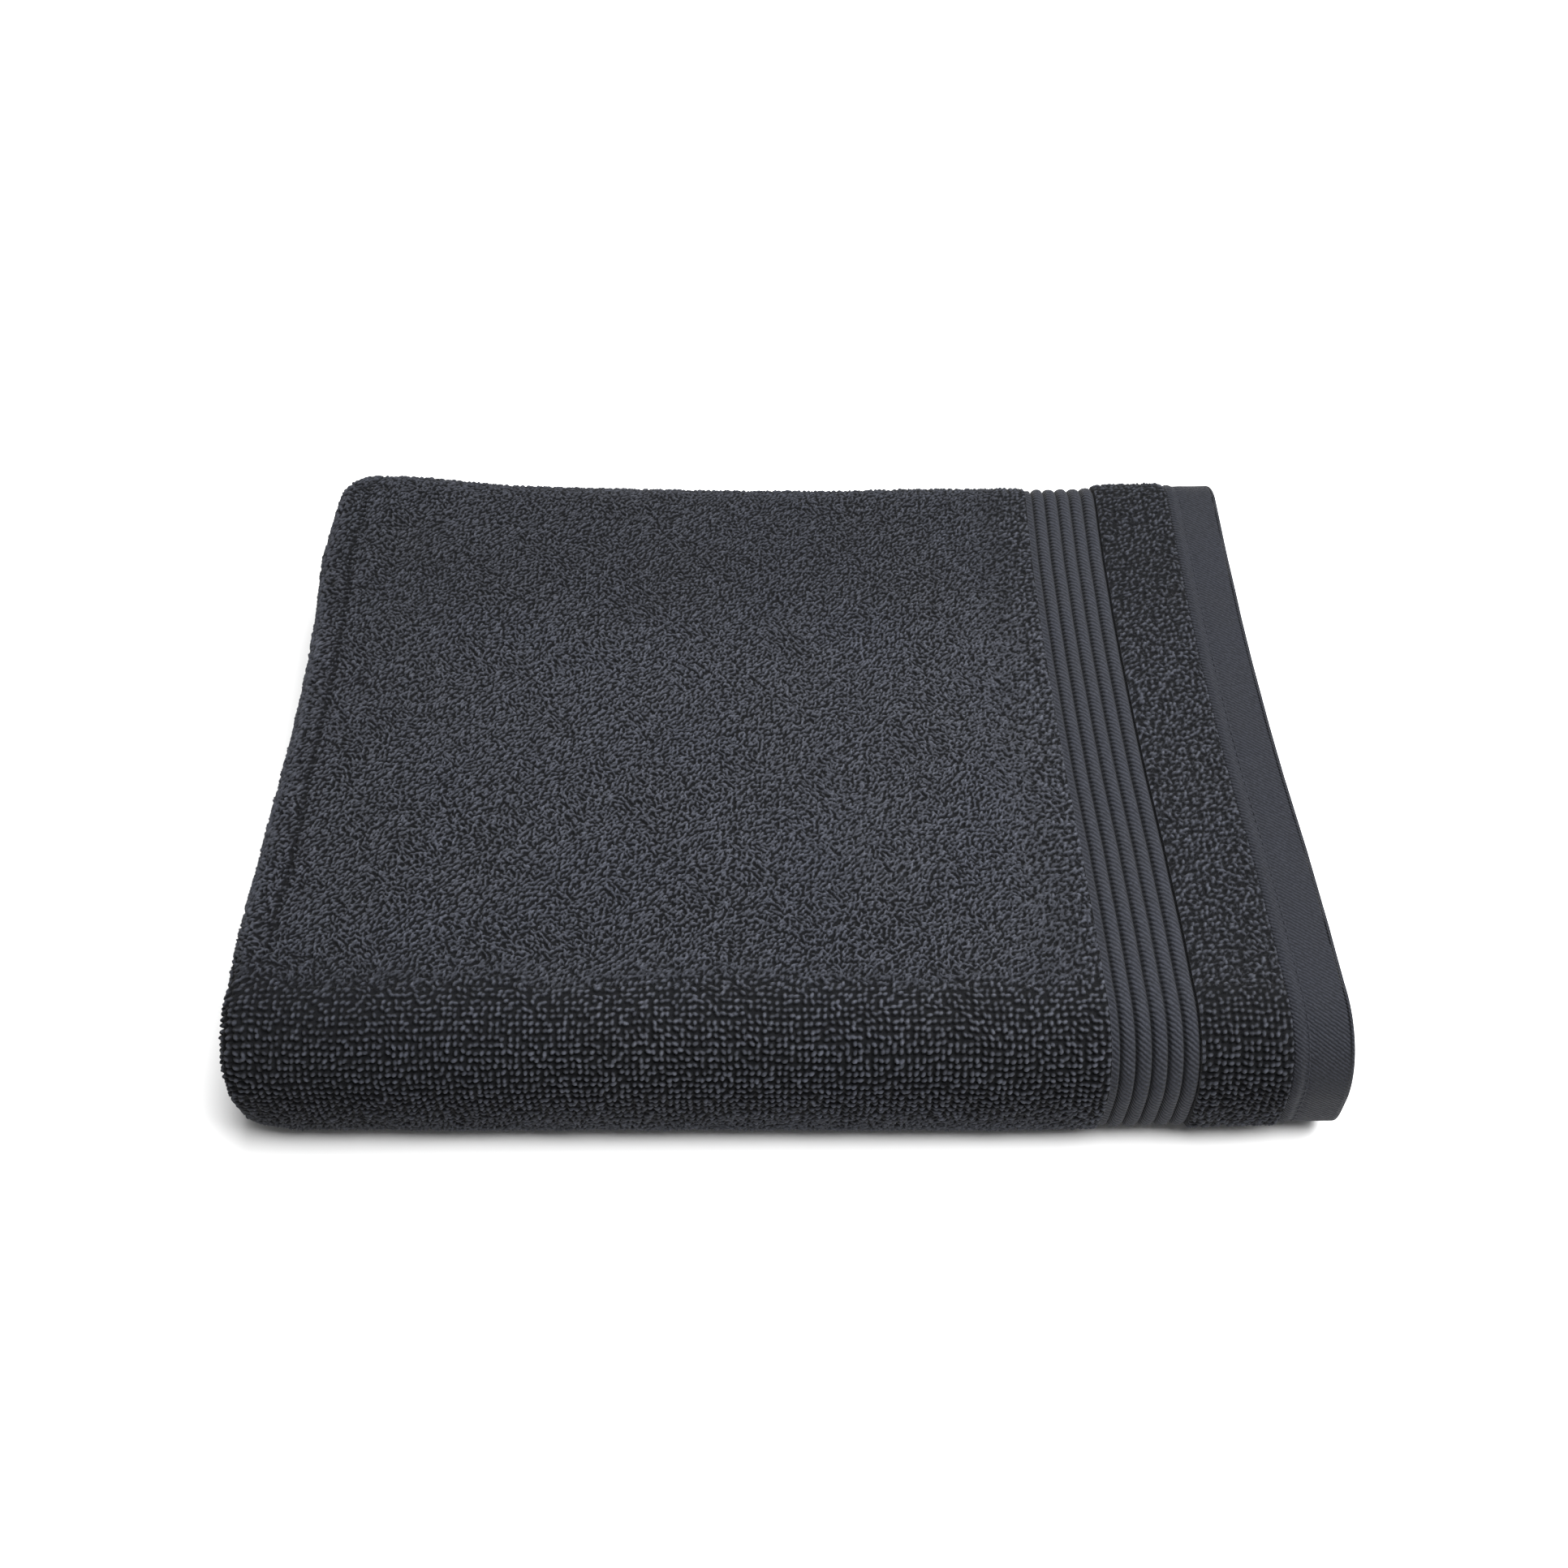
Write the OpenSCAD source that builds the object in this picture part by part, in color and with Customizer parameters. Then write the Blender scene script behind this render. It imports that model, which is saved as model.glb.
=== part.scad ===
// Terry bath towel, folded for the shelf.
// The cloth is a rectangle, hemmed on its four sides, with a ribbed dobby band and a pile strip
// before each end hem. Its length is folded in four, so that it makes one leaf of four plies.
// The leaf is folded in thirds over its width: an upper leaf lies on a tucked leaf, and both lie
// on a lower leaf. The front fold is the last one made and the first one to open.
// X runs along the cloth's length, Y across its width, from the front fold to the back fold.

/* [Folded towel] */
// Length of the folded towel, left fold to end hem
fold_w = 334; // [300:1:370]
// Depth of the folded towel, front fold to back fold
fold_d = 257; // [235:1:280]
// Height of the folded towel
fold_h = 53.5; // [45:0.5:62]
// Width of the flat cloth, side hem to side hem
cloth_w = 762; // [740:1:780]

/* [Plies] */
// Air between two plies of one leaf
ply_gap = 0.4; // [0.2:0.1:0.6]
// Air between two leaves
leaf_gap = 0.4; // [0.3:0.1:0.8]
// Air between the upper leaf and the front fold, at the fold line
fold_line_gap = 0.3; // [0.2:0.1:0.6]
// How far the right fold stays behind the end hem's edge
right_fold_inset = 3; // [2:0.5:8]
// How far the inner end hem stays behind the outer one
inner_end_inset = 1.5; // [0:0.5:4]
// How far the lower leaf's side hem stays behind the back fold
lower_edge_inset = 3; // [1:0.5:10]

/* [Border at each end] */
// Width of the flat end hem
hem_w = 18.5; // [14:0.5:24]
// Thickness of the flat end hem
hem_t = 2.6; // [1.8:0.1:3.2]
// Width of the pile strip between the end hem and the dobby band
strip_w = 27; // [20:0.5:32]
// Width of the dobby band
dobby_w = 26.5; // [24:0.5:30]
// Thickness of the dobby band's ground cloth
dobby_ground_t = 1.6; // [1.0:0.1:2.4]
// Number of ribs in the dobby band
rib_count = 5; // [3:1:5]
// Distance from rib to rib
rib_pitch = 4.7; // [4.2:0.1:4.7]
// Air between two ribs, at their widest
rib_groove = 0.5; // [0.3:0.1:0.8]

/* [Side hems, thread and label] */
// Width of the turned side hem
side_hem_w = 10; // [7:0.5:14]
// Thickness of the turned side hem
side_hem_t = 3.0; // [2.0:0.1:3.4]
// Distance from a hem's inner edge to its row of stitches
stitch_inset = 2.2; // [1.5:0.1:4]
// Width of a row of stitches
thread_w = 0.8; // [0.5:0.1:1.2]
// How far the thread stands on the cloth
thread_t = 0.3; // [0.2:0.1:0.4]
// Width of the blank care label
label_w = 36; // [25:1:50]
// How far the care label stands out of the side hem
label_len = 19; // [12:1:22]
// Thickness of the folded care label
label_t = 0.5; // [0.3:0.1:0.8]
// Middle of the care label along the cloth's length
label_x = 70; // [-100:1:80]

/* [Hidden] */
$fn = 64;
plies = 4;
leaves = 3;
large_arc_steps = 20;
small_arc_steps = 8;
charcoal = [0.235, 0.247, 0.275];
charcoal_flat = [0.27, 0.28, 0.31];
thread_grey = [0.20, 0.21, 0.24];
label_white = [0.86, 0.86, 0.84];

// Leaf and ply thicknesses
leaf_t = (fold_h - (leaves - 1) * leaf_gap) / leaves;
ply_pitch = (leaf_t + ply_gap) / plies;
ply_t = ply_pitch - ply_gap;

// Fold lines along the length: every ply turns about one of these two
left_turn_x = -fold_w / 2 + leaf_t / 2;
right_turn_x = fold_w / 2 - right_fold_inset - ply_pitch + ply_gap / 2;

// Fold lines across the width
front_r = fold_h / 2;
front_y = -fold_d / 2 + front_r;
back_r = (fold_h - leaf_t - leaf_gap) / 2;
back_y = fold_d / 2 - back_r;
back_z = fold_h - back_r;
lower_edge_y = fold_d / 2 - lower_edge_inset;

// The tucked leaf gets what is left of the cloth's width on its outermost ply
lower_len = lower_edge_y - front_y;
upper_len = back_y - front_y;
tucked_len = cloth_w - lower_len - PI * front_r - upper_len - PI * back_r;
tucked_edge_y = back_y - tucked_len;

// Ends of the two borders on the outer ply (a) and on the ply under it (b)
end_a = fold_w / 2;
end_b = fold_w / 2 - inner_end_inset;

REGIONS = ["lower", "front_fold", "upper", "back_fold", "tucked"];
ZONES = ["field", "dobby_a", "dobby_b", "strip_a", "strip_b", "end_hem_a", "end_hem_b", "hem_thread"];

// ---- Flat outlines: x along the cloth's length, y from the leaf's outer face inwards ----

// Middle of a ply's thickness, counted from the leaf's outer face
function ply_mid(ply) = (ply - 1) * ply_pitch + ply_t / 2;

// A straight stretch of one ply
module ply_bar(ply, from_x, to_x, thick) {
    translate([from_x, ply_mid(ply) - thick / 2])
        square([to_x - from_x, thick]);
}

// Points of an arc, from one angle to another, in equal steps
function arc(centre, radius, from_angle, to_angle, steps) = [
    for (i = [0:steps])
        let (angle = from_angle + (to_angle - from_angle) * i / steps)
            centre + radius * [cos(angle), sin(angle)]
];

// Middle between two plies, where the turn that joins them has its centre, and that turn's radius
function turn_mid(first_ply, last_ply) = (ply_mid(first_ply) + ply_mid(last_ply)) / 2;
function turn_r(first_ply, last_ply) = (ply_mid(last_ply) - ply_mid(first_ply)) / 2;

// One side of the ribbon, off its middle line by off: along ply 1, round to 4, to 3, to 2
function ribbon_side(off, outer_end, inner_end) = concat(
    [[outer_end, ply_mid(1) - off]],
    arc([left_turn_x, turn_mid(1, 4)], turn_r(1, 4) + off, -90, -270, large_arc_steps),
    arc([right_turn_x, turn_mid(3, 4)], turn_r(3, 4) + off, 90, -90, small_arc_steps),
    arc([left_turn_x, turn_mid(2, 3)], turn_r(2, 3) - off, 90, 270, small_arc_steps),
    [[inner_end, ply_mid(2) + off]]
);

function reversed(points) = [for (i = [len(points) - 1:-1:0]) points[i]];

// The whole ribbon of cloth, from an end on the outer ply, round its turns, to an end on ply 2
module ribbon(thick, outer_end, inner_end) {
    polygon(concat(
        ribbon_side(thick / 2, outer_end, inner_end),
        reversed(ribbon_side(-thick / 2, outer_end, inner_end))
    ));
}

module field_outline() {
    border = hem_w + strip_w + dobby_w;
    ribbon(ply_t, end_a - border, end_b - border);
}

module dobby_outline(ply, end) {
    band_end = end - hem_w - strip_w;
    rib_r = (rib_pitch - rib_groove) / 2;
    ply_bar(ply, band_end - dobby_w, band_end, dobby_ground_t);
    for (rib = [0:rib_count - 1])
        translate([band_end - rib_groove - rib_r - rib * rib_pitch, ply_mid(ply)])
            circle(r = min(rib_r, ply_t / 2));
}

module strip_outline(ply, end) {
    ply_bar(ply, end - hem_w - strip_w, end - hem_w, ply_t);
}

module end_hem_outline(ply, end) {
    ply_bar(ply, end - hem_w, end, hem_t);
}

module hem_thread_outline(ply, end) {
    translate([end - hem_w + stitch_inset, ply_mid(ply) - hem_t / 2 - thread_t])
        square([thread_w, thread_t]);
}

module zone_outline(zone) {
    if (zone == "field") field_outline();
    if (zone == "dobby_a") dobby_outline(1, end_a);
    if (zone == "dobby_b") dobby_outline(2, end_b);
    if (zone == "strip_a") strip_outline(1, end_a);
    if (zone == "strip_b") strip_outline(2, end_b);
    if (zone == "end_hem_a") end_hem_outline(1, end_a);
    if (zone == "end_hem_b") end_hem_outline(2, end_b);
    if (zone == "hem_thread") {
        hem_thread_outline(1, end_a);
        hem_thread_outline(2, end_b);
    }
}

// ---- Solids: an outline carried along a leaf or round a fold ----

// Carries an outline from from_y to to_y, with the leaf's outer face down on the plane z = 0
module outer_face_down(from_y, to_y) {
    translate([0, to_y, 0])
        rotate([90, 0, 0])
            linear_extrude(height = to_y - from_y)
                children();
}

module lower_leaf(from_y, to_y) {
    outer_face_down(from_y, to_y) children();
}

module tucked_leaf(from_y, to_y) {
    translate([0, 0, leaf_t + leaf_gap])
        outer_face_down(from_y, to_y) children();
}

module upper_leaf(from_y, to_y) {
    translate([0, 0, fold_h])
        mirror([0, 0, 1])
            outer_face_down(from_y, to_y) children();
}

// Carries an outline half a turn round the X axis, on the side of negative Y
module half_turn(radius) {
    rotate([180, -90, 0])
        rotate_extrude(angle = 180)
            translate([radius, 0])
                rotate(90)
                    children();
}

module front_fold() {
    translate([0, front_y, front_r])
        half_turn(front_r) children();
}

module back_fold() {
    translate([0, back_y, back_z])
        mirror([0, 1, 0])
            half_turn(back_r) children();
}

module region_solid(region) {
    if (region == "lower") lower_leaf(front_y, lower_edge_y - side_hem_w) children();
    if (region == "front_fold") front_fold() children();
    if (region == "upper") upper_leaf(front_y + fold_line_gap, back_y) children();
    if (region == "back_fold") back_fold() children();
    if (region == "tucked") tucked_leaf(tucked_edge_y + side_hem_w, back_y) children();
}

module cloth_part(region, zone) {
    flat_woven = zone == "end_hem_a" || zone == "end_hem_b" || zone == "dobby_a" || zone == "dobby_b";
    color(zone == "hem_thread" ? thread_grey : flat_woven ? charcoal_flat : charcoal)
        region_solid(region) zone_outline(zone);
}

// ---- Side hems, their stitches and the label ----

module lower_side_hem() {
    color(charcoal_flat)
        lower_leaf(lower_edge_y - side_hem_w, lower_edge_y)
            ribbon(side_hem_t, end_a, end_b);
}

module tucked_side_hem() {
    color(charcoal_flat)
        tucked_leaf(tucked_edge_y, tucked_edge_y + side_hem_w)
            ribbon(side_hem_t, end_a, end_b);
}

// One row of stitches on the outer side of each straight ply
module side_thread_outline() {
    for (ply = [1:plies])
        translate([left_turn_x, ply_mid(ply) - side_hem_t / 2 - thread_t])
            square([right_turn_x - left_turn_x, thread_t]);
}

module lower_side_thread() {
    row_y = lower_edge_y - side_hem_w + stitch_inset;
    color(thread_grey)
        lower_leaf(row_y - thread_w / 2, row_y + thread_w / 2)
            side_thread_outline();
}

module tucked_side_thread() {
    row_y = tucked_edge_y + side_hem_w - stitch_inset;
    color(thread_grey)
        tucked_leaf(row_y - thread_w / 2, row_y + thread_w / 2)
            side_thread_outline();
}

// The label is caught in the side hem of the tucked leaf and lies in the hollow of the front fold
module care_label() {
    color(label_white)
        translate([label_x - label_w / 2, tucked_edge_y - label_len, leaf_t + leaf_gap + ply_mid(1) - label_t / 2])
            cube([label_w, label_len, label_t]);
}

for (region = REGIONS)
    for (zone = ZONES)
        cloth_part(region, zone);
lower_side_hem();
tucked_side_hem();
lower_side_thread();
tucked_side_thread();
care_label();
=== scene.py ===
"""A folded charcoal terry bath towel: cloth, borders, hems, stitches and label, round the CAD frame."""
import math

import bpy
import numpy as np
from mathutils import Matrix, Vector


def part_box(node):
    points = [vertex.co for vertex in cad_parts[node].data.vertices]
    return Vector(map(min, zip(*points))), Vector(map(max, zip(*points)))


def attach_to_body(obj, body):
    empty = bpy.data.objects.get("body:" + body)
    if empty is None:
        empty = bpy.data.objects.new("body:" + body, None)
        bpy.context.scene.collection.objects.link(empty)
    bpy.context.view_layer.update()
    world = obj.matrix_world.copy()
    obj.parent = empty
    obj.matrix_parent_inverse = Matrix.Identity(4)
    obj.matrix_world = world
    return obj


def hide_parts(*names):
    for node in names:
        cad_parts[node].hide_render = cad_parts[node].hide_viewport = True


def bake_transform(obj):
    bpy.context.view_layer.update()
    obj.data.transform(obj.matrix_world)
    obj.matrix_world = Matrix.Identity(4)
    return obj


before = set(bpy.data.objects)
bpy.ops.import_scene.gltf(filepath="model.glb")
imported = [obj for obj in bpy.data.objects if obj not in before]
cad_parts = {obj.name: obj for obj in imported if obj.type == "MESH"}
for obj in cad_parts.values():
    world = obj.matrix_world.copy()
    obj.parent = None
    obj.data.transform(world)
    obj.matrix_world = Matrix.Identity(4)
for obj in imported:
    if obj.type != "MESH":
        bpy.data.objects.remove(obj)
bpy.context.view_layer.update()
MM = 0.001

# ---------------------------------------------------------------- sizes, from the frame


def low(node, axis):
    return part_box(node)[0][axis]


def high(node, axis):
    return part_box(node)[1][axis]


def span(node, axis):
    return high(node, axis) - low(node, axis)


X, Y, Z = 0, 1, 2
FOLD_H = high("upper_field", Z)
LEAF_T = high("lower_field", Z)
LEAF_GAP = low("tucked_field", Z) - LEAF_T
FRONT_R = FOLD_H / 2
FRONT_Y = high("front_fold_field", Y)
BACK_Y = low("back_fold_field", Y)
BACK_R = high("back_fold_field", Y) - BACK_Y
BACK_Z = FOLD_H - BACK_R
LOWER_EDGE_Y = high("lower_side_hem", Y)
TUCKED_EDGE_Y = low("tucked_side_hem", Y)
SIDE_HEM_W = span("lower_side_hem", Y)
PLY_T = span("lower_strip_a", Z)
PLY_PITCH = low("lower_strip_b", Z) - low("lower_strip_a", Z)
END_A = high("upper_end_hem_a", X)
END_B = high("upper_end_hem_b", X)
HEM_W = span("upper_end_hem_a", X)
STRIP_W = span("upper_strip_a", X)
DOBBY_W = span("upper_dobby_a", X)
LEFT_TURN_X = low("upper_field", X) + LEAF_T / 2
RIGHT_TURN_X = high("upper_field", X) - PLY_PITCH + (PLY_PITCH - PLY_T) / 2
HALF_W = END_A
HALF_D = high("back_fold_field", Y)

# Middle of each ply, inwards from the leaf's outer face, and the turns that join the plies
PLY_MID = [(ply + 0.5) * PLY_T + ply * (PLY_PITCH - PLY_T) for ply in range(4)]
OUTER_TURN_R = (PLY_MID[3] - PLY_MID[0]) / 2
SMALL_TURN_R = PLY_PITCH / 2

# Cloth length, from end a: where each stretch of the ribbon ends
U_PLY1 = END_A - LEFT_TURN_X
U_OUTER_TURN = U_PLY1 + math.pi * OUTER_TURN_R
U_PLY4 = U_OUTER_TURN + RIGHT_TURN_X - LEFT_TURN_X
U_RIGHT_TURN = U_PLY4 + math.pi * SMALL_TURN_R
U_PLY3 = U_RIGHT_TURN + RIGHT_TURN_X - LEFT_TURN_X
U_INNER_TURN = U_PLY3 + math.pi * SMALL_TURN_R
CLOTH_L = U_INNER_TURN + END_B - LEFT_TURN_X
BORDER_W = HEM_W + STRIP_W + DOBBY_W

# Cloth width, from the lower side hem and measured on the outermost ply
V_LOWER = LOWER_EDGE_Y - FRONT_Y
V_FRONT = V_LOWER + math.pi * FRONT_R
V_UPPER = V_FRONT + BACK_Y - FRONT_Y
V_BACK = V_UPPER + math.pi * BACK_R
CLOTH_W = V_BACK + BACK_Y - TUCKED_EDGE_Y

HINGE_ROOM = 0.2 * MM  # how far short of the front fold's hinge the lower leaf's own cloth stops
REGIONS = {
    "lower": (SIDE_HEM_W, V_LOWER - HINGE_ROOM),
    "front_fold": (V_LOWER - HINGE_ROOM, V_FRONT),
    "upper": (V_FRONT, V_UPPER),
    "back_fold": (V_UPPER, V_BACK),
    "tucked": (V_BACK, CLOTH_W - SIDE_HEM_W),
}
BODY = {"lower": "lower_leaf", "upper": "upper_leaf", "back_fold": "upper_leaf", "tucked": "upper_leaf"}

# ---------------------------------------------------------------- cloth design

LOOP_U = 2.0 * MM  # loop to loop along the cloth's length, where the loops stand up
LOOP_V = 2.1 * MM  # loop to loop across the cloth
FLAT_FINER = 1.2  # how much closer the loops of each shed lie where the pile is pressed flat
FOLD_SPREAD = 0.04  # how much further apart the rows stand round the front fold
BACK_SPREAD = 0.15
FRONT_STANDING = (20 * MM, 17 * MM, 28 * MM)  # from the floor fold, past the top fold, and the ramp between
BACK_STANDING = 0.55
LEFT_STANDING = 0.20
PATCH_STANDING = 0.4
BOUNDARY_RAGGED = 3.5 * MM
ROW_WANDER = 0.35  # in rows
PILE_DEPTH = 1.5 * MM
LOOP_JITTER = 0.6
LOOP_LONG = 1.05 * MM  # half the length of a loop that lies down
LOOP_NARROW = 0.45 * MM
KNOB_LONG = 1.15 * MM  # half the length of a loop that stands up
KNOB_NARROW = 0.80 * MM
KNOB_DROOP = 0.30
KNOB_PAINTED_SHADE = 0.09  # painted shade: how much darker a standing loop is drawn, for its shaded side
STRIP_RAISED = 0.25 * MM
STRIP_STANDING = 0.55
BORDER_REACH = 35 * MM  # how far into the field the ribs hold the loops up
RIB_COUNT = 5
RIB_PITCH = 4.7 * MM
RIB_SHARE = 0.45  # half of a cord's width, in rib pitches
RIB_CREST = 1.40 * MM  # above the ply's middle
RIB_GROOVE = -0.25 * MM
RIB_STRAND = 1.3 * MM
HEM_HALF_T = 1.15 * MM
SIDE_HEM_HALF_T = 1.35 * MM
STITCH_PITCH = 3.0 * MM
STITCH_GAP = 0.5 * MM
THREAD_R = 0.28 * MM
STITCH_INSET = 4.8 * MM
FINE_STEP = 0.4 * MM
MEDIUM_STEP = 0.7 * MM
COVERED_STEP = 1.2 * MM
COARSE_STEP = 2.0 * MM
EDGE_ROW = 0.05 * MM  # a last row this close to a piece's end keeps the shading even across the join

# The stack's own unevenness. Stations run from the front (-1) to the back (1) of the footprint,
# and the side shifts at them are in millimetres
FRONT_POWER_LOW = 3.6
FRONT_POWER_HIGH = 2.2
SIDE_STATIONS = (-1.0, -0.78, -0.62, -0.39, -0.16, 0.0, 0.23, 0.39, 0.62, 0.86, 1.0)
LEFT_SHIFT = (-1.4, -1.5, -2.3, -1.6, -0.8, -0.4, -0.4, -1.2, -3.5, -1.2, 6.5)
RIGHT_SHIFT = (2.6, 1.4, 1.0, -0.2, -2.1, -3.0, -3.9, -4.2, -4.1, -3.7, -3.9)
BACK_LIFT_LEFT = 4.2 * MM
BACK_LIFT_RIGHT = 1.6 * MM
BORDER_LIFT = 0.9 * MM  # how much higher the strip and end hem stand at the back
CORNER_RISE = 2.0 * MM  # how far the front right corner stays off the floor
CORNER_BACK = 1.5 * MM
CORNER_OUT = 3.2 * MM
LEFT_CORNER_OUT = 2.4 * MM
LEFT_CORNER_BACK = 4.0 * MM  # how much rounder the front left corner is at the floor
BACK_HUMP = 3.2 * MM  # how much fuller the left fold is at its back end
LEFT_TURN_POWER = 2.7
BACK_DIP = 0.6 * MM
TOP_RISE = 0.5 * MM
BROAD_SWELL = 0.45 * MM
SMALL_SWELL = 0.25 * MM
BACK_BOW = 1.4 * MM
LEFT_CREASE = 0.8 * MM
LEFT_CREASE_X = 12 * MM  # from the left edge
LEFT_CREASE_W = 1.1 * MM
LEFT_CREASE_SHADE = 0.65
LEFT_TURN_LIGHT = 0.45  # painted light: how far the left turn's pile is drawn lighter, towards the colour of its crowns

# ---------------------------------------------------------------- helpers


def smooth(t):
    t = np.clip(t, 0, 1)
    return t * t * (3 - 2 * t)


def plateau(t, start, end, ramp):
    """1 between start and end, 0 outside, with soft ramps inside the stretch."""
    return smooth((t - start) / ramp) * smooth((end - t) / ramp)


def hashed(i, j, salt):
    """A repeatable random number from 0 to 1 for each pair of whole numbers."""
    value = np.sin(i * 127.1 + j * 311.7 + salt * 74.7) * 43758.5453
    return value - np.floor(value)


def value_noise(a, b, salt):
    """Smooth noise from -1 to 1 with a period of about 1."""
    ia, ib = np.floor(a), np.floor(b)
    fa, fb = smooth(a - ia), smooth(b - ib)
    low_edge = hashed(ia, ib, salt) * (1 - fa) + hashed(ia + 1, ib, salt) * fa
    high_edge = hashed(ia, ib + 1, salt) * (1 - fa) + hashed(ia + 1, ib + 1, salt) * fa
    return 2 * (low_edge * (1 - fb) + high_edge * fb) - 1


# ---------------------------------------------------------------- from the flat cloth to the folded towel


def leaf_section(u):
    """Where the cloth's middle lies in the leaf: x, depth under the leaf's outer face, and outward normal."""
    u = np.asarray(u, float)
    x, n, nx, nn = (np.empty_like(u) for _ in range(4))

    def straight(where, from_x, direction, from_u, ply, normal):
        x[where] = from_x + direction * (u[where] - from_u)
        n[where], nx[where], nn[where] = PLY_MID[ply], 0, normal

    def turn(where, centre_x, plies, radius, start, sweep, from_u, side):
        angle = start + sweep * (u[where] - from_u) / radius
        c, s = np.cos(angle), np.sin(angle)
        power = LEFT_TURN_POWER if radius == OUTER_TURN_R else 2
        out = radius / (np.abs(c) ** power + np.abs(s) ** power) ** (1 / power)
        x[where] = centre_x + out * c
        n[where] = (PLY_MID[plies[0]] + PLY_MID[plies[1]]) / 2 + out * s
        nx[where], nn[where] = side * c, side * s

    quarter = math.pi / 2
    straight(u <= U_PLY1, END_A, -1, 0, 0, -1)
    turn((u > U_PLY1) & (u <= U_OUTER_TURN), LEFT_TURN_X, (0, 3), OUTER_TURN_R, -quarter, -1, U_PLY1, 1)
    straight((u > U_OUTER_TURN) & (u <= U_PLY4), LEFT_TURN_X, 1, U_OUTER_TURN, 3, 1)
    turn((u > U_PLY4) & (u <= U_RIGHT_TURN), RIGHT_TURN_X, (2, 3), SMALL_TURN_R, quarter, -1, U_PLY4, 1)
    straight((u > U_RIGHT_TURN) & (u <= U_PLY3), RIGHT_TURN_X, -1, U_RIGHT_TURN, 2, -1)
    turn((u > U_PLY3) & (u <= U_INNER_TURN), LEFT_TURN_X, (1, 2), SMALL_TURN_R, quarter, 1, U_PLY3, -1)
    straight(u > U_INNER_TURN, LEFT_TURN_X, 1, U_INNER_TURN, 1, 1)
    return x, n, nx, nn


def fold_section(v, n):
    """Where a point of the leaf lies across the folds: y and z."""
    v, n = np.broadcast_arrays(np.asarray(v, float), n)
    front = np.clip((v - V_LOWER) / FRONT_R, 0, math.pi)
    back = np.clip((v - V_UPPER) / BACK_R, 0, math.pi)
    y = np.where(v < V_FRONT, FRONT_Y - (FRONT_R - n) * np.sin(front), BACK_Y + (BACK_R - n) * np.sin(back))
    z = np.where(v < V_FRONT, FRONT_R - (FRONT_R - n) * np.cos(front), BACK_Z + (BACK_R - n) * np.cos(back))
    y = y + np.where(v < V_LOWER, V_LOWER - v, 0) - np.where(v > V_BACK, v - V_BACK, 0)
    y = y - np.where((v >= V_FRONT) & (v < V_UPPER), V_UPPER - v, 0)
    return y, z


def fuller(y, z):
    """Squares the round front fold a little: a settled stack bulges where its face meets the floor."""
    ahead, above = (FRONT_Y - y) / FRONT_R, (z - FRONT_R) / FRONT_R
    power = np.where(above < 0, FRONT_POWER_LOW, FRONT_POWER_HIGH)
    s, c = np.clip(np.abs(ahead), 0, 2), np.clip(np.abs(above), 0, 2)
    size = np.sqrt(s * s + c * c) + 1e-9
    out = size / (s ** power + c ** power + 1e-9) ** (1 / power)
    out = np.where(ahead > 0, 1 + (out - 1) * smooth(size / 0.35), 1)
    return FRONT_Y - ahead * out * FRONT_R, FRONT_R + above * out * FRONT_R


def settle(x, y, z):
    """The towel's own unevenness: fuller at the left fold, dipped in the middle, soft swells on top."""
    y, z = fuller(y, z)
    across, along = x / HALF_W, y / HALF_D
    height = z / FOLD_H
    left, right = (np.interp(along, SIDE_STATIONS, shifts) * MM for shifts in (LEFT_SHIFT, RIGHT_SHIFT))
    x = x + left * smooth(0.5 - across / 2) + right * smooth(0.5 + across / 2)
    lift = BACK_LIFT_LEFT * smooth(-0.2 - across) + BACK_LIFT_RIGHT * smooth(across)
    lift = lift + BORDER_LIFT * smooth((across - 0.66) / 0.12)
    hump = BACK_HUMP * smooth((-across - 0.62) / 0.3) * smooth((along - 0.45) / 0.5)
    dip = BACK_DIP * (1 - across ** 2) * smooth(0.5 + 0.6 * along)
    lift = lift * smooth(0.2 + 0.8 * along) + hump + TOP_RISE - dip
    broad_swell = BROAD_SWELL * value_noise(x / 0.055 + 3, y / 0.06 + 7, 1)
    swell = broad_swell + SMALL_SWELL * value_noise(x / 0.024, y / 0.028, 2)
    z = z + height * (lift + swell)
    front = smooth(-(along + 0.3) / 0.6)
    corner = smooth((across - 0.42) / 0.58) * front
    z = z + CORNER_RISE * corner * (1 - height) ** 2
    left_corner = smooth((-across - 0.42) / 0.58) * front
    x = x + (CORNER_OUT * corner - LEFT_CORNER_OUT * left_corner) * (1 - height) ** 2
    bow = BACK_BOW * (1 - across ** 2) * smooth(along)
    rounder = LEFT_CORNER_BACK * smooth((-across - 0.88) / 0.12) * front * (1 - height) ** 2
    y = y - bow * height + CORNER_BACK * corner + rounder
    return x, y, z


def place(u, v, d):
    """Points of the folded towel: d is how far a point lies outside the cloth's middle."""
    x, n, nx, nn = leaf_section(u)
    y, z = fold_section(v, n + d * nn)
    return np.stack(settle(x + d * nx, y, z), axis=-1)


# ---------------------------------------------------------------- terry loops

# The count of rows at points across the cloth: the folds spread the rows apart
FRONT_RAMP, BACK_RAMP = 18 * MM, 12 * MM
ROW_TABLE_V = np.linspace(-0.01, CLOTH_W + 0.01, 4000)
ROW_SPREAD = 1 + FOLD_SPREAD * plateau(ROW_TABLE_V, V_LOWER, V_FRONT, FRONT_RAMP)
ROW_SPREAD = ROW_SPREAD + BACK_SPREAD * plateau(ROW_TABLE_V, V_UPPER, V_BACK, BACK_RAMP)
ROW_TABLE = np.concatenate([[0], np.cumsum(np.diff(ROW_TABLE_V) / LOOP_V / ROW_SPREAD[1:])])


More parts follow.
